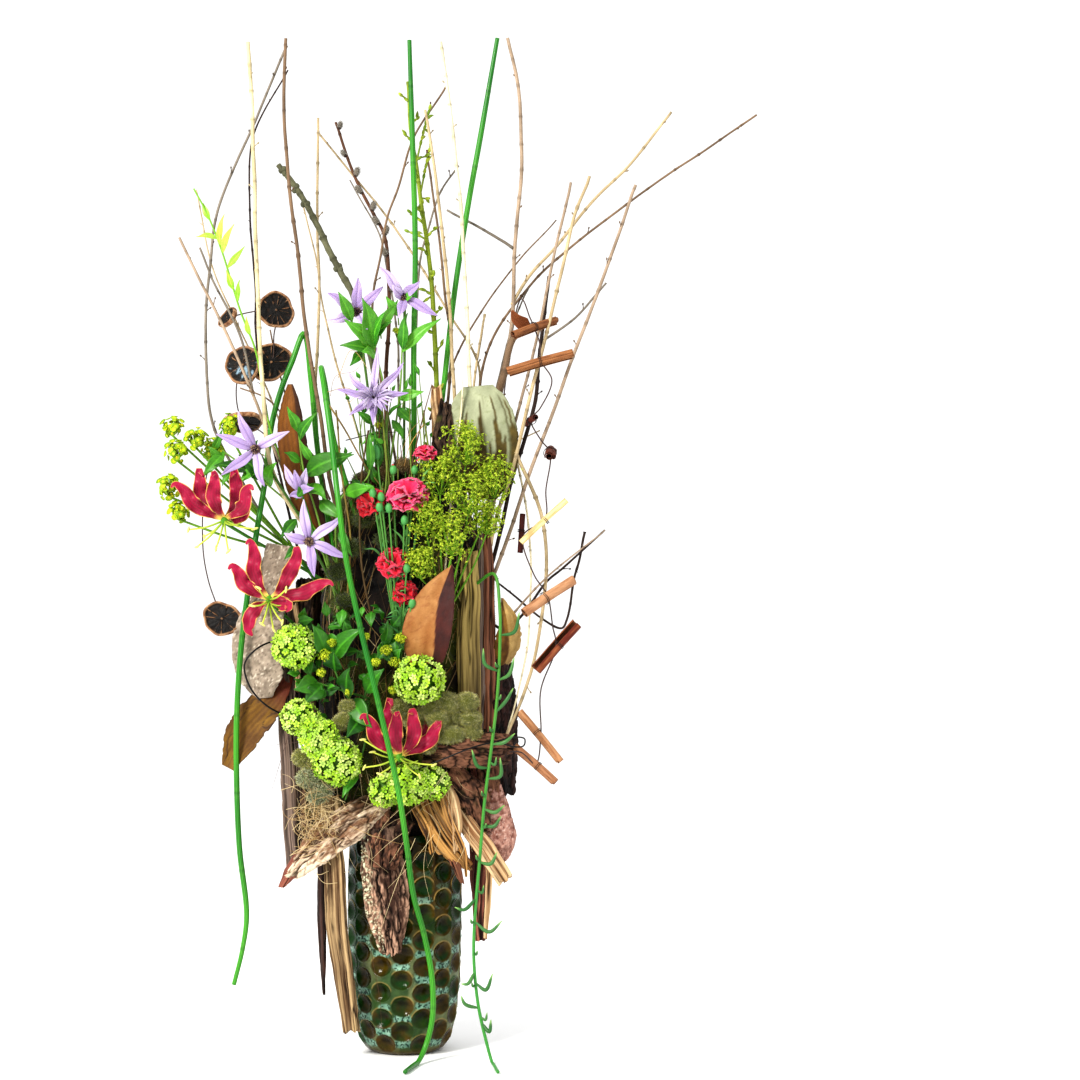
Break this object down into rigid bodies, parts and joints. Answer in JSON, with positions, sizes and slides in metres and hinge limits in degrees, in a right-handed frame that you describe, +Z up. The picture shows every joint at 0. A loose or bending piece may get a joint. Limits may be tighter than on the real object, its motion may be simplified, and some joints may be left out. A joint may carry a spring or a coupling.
{
  "type": "ikebana arrangement in a vase",
  "caption": "Tall floral arrangement of twigs, bark, fresh blooms and trailing stems in a dimpled glazed vase, resting on a flat base.",
  "frame": {"origin": "middle of the vase's flat foot, on the surface that it stands on", "axes": "+Z up along the vase's axis, the front of the arrangement faces -Y, +X to the right as seen from the front"},
  "size_m": [0.7107, 0.2315, 1.2144],
  "materials": {
    "glaze": "glossy green-brown glaze, dimpled, pale turquoise on the ridges",
    "gravel": "matt mixed gravel",
    "moss": "matt moss and bark crumbs on a straw core",
    "bark": "rough furrowed bark, flaking",
    "weathered_wood": "matt weathered split wood with open grain",
    "pale_wood": "matt straw-coloured split wood",
    "red_wood": "matt reddish split wood",
    "dark_wood": "matt dark decayed wood",
    "amber_wood": "freshly split amber splinters",
    "spongy_bark": "pitted spongy bark",
    "dry_leaf": "satin dried leaf, orange-brown suede",
    "grey_leaf": "matt felted grey leaf",
    "pale_leaf": "matt pale grey-green leaf",
    "tan_leaf": "matt broken tan leaf",
    "straw_twig": "satin pale straw bark",
    "brown_twig": "satin pink-brown bark",
    "grey_branch": "matt grey-green lichened bark",
    "rush": "smooth glossy green stem",
    "green_stem": "satin green stem and buds",
    "leaf": "glossy dark green leaf",
    "banana_leaf": "fleshy green, slightly glossy",
    "gloriosa_petal": "satin crimson with yellow margins",
    "clematis_petal": "satin lilac",
    "carnation": "matt pink and red ruffles with green calyxes",
    "guelder": "matt lime florets",
    "mantle": "fine matt yellow-green stars",
    "crest": "velvety golden green",
    "cinnamon": "matt rolled bark on brown wire",
    "slice": "dark glossy flesh in a tan rind, on brown wire",
    "black_wire": "satin black"
  },
  "bodies": {
    "root": {"vase": "glaze", "ballast": "gravel", "moss_column": "moss", "bark_front": "bark", "bark_collar_left": "bark", "bark_belt_right": "bark", "bark_slab_right": "red_wood", "bark_spongy_right": "spongy_bark", "slat_front_left": "weathered_wood", "slat_dark_left": "dark_wood", "post_left": "weathered_wood", "plank_pale": "pale_wood", "plank_red": "red_wood", "plank_back": "weathered_wood", "splinter_right": "pale_wood", "splinters_amber": "amber_wood", "slat_low_right": "red_wood", "bark_back": "bark", "bark_side_left": "bark", "leaf_front": "dry_leaf", "leaf_upper_left": "dry_leaf", "leaf_lower_left": "dry_leaf", "leaf_felt": "grey_leaf", "leaf_round": "pale_leaf", "leaf_tan": "tan_leaf", "twigs_left": "straw_twig", "twigs_middle": "straw_twig", "twigs_right": "brown_twig", "branch_grey": "grey_branch", "branch_catkin": "brown_twig", "rush_tall_left": "rush", "rush_tall_right": "rush", "rush_front": "rush", "rush_side": "rush", "stem_budded": "green_stem", "stem_leafy": "green_stem", "leaves_top": "leaf", "leaves_left": "leaf", "leaves_low": "leaf", "string_of_bananas": "banana_leaf", "gloriosa_left": "gloriosa_petal", "gloriosa_middle": "gloriosa_petal", "gloriosa_low": "gloriosa_petal", "clematis_left": "clematis_petal", "clematis_low": "clematis_petal", "clematis_top": "clematis_petal", "clematis_back": "clematis_petal", "clematis_double": "clematis_petal", "carnations": "carnation", "guelder_upper_left": "guelder", "guelder_right": "guelder", "guelder_lower_left": "guelder", "guelder_low": "guelder", "ladys_mantle": "mantle", "spurge": "mantle", "crest_right": "crest", "crest_left": "crest", "cinnamon_garland": "cinnamon", "slice_garland": "slice", "wire_loop_left": "black_wire"}
  },
  "joints": []
}
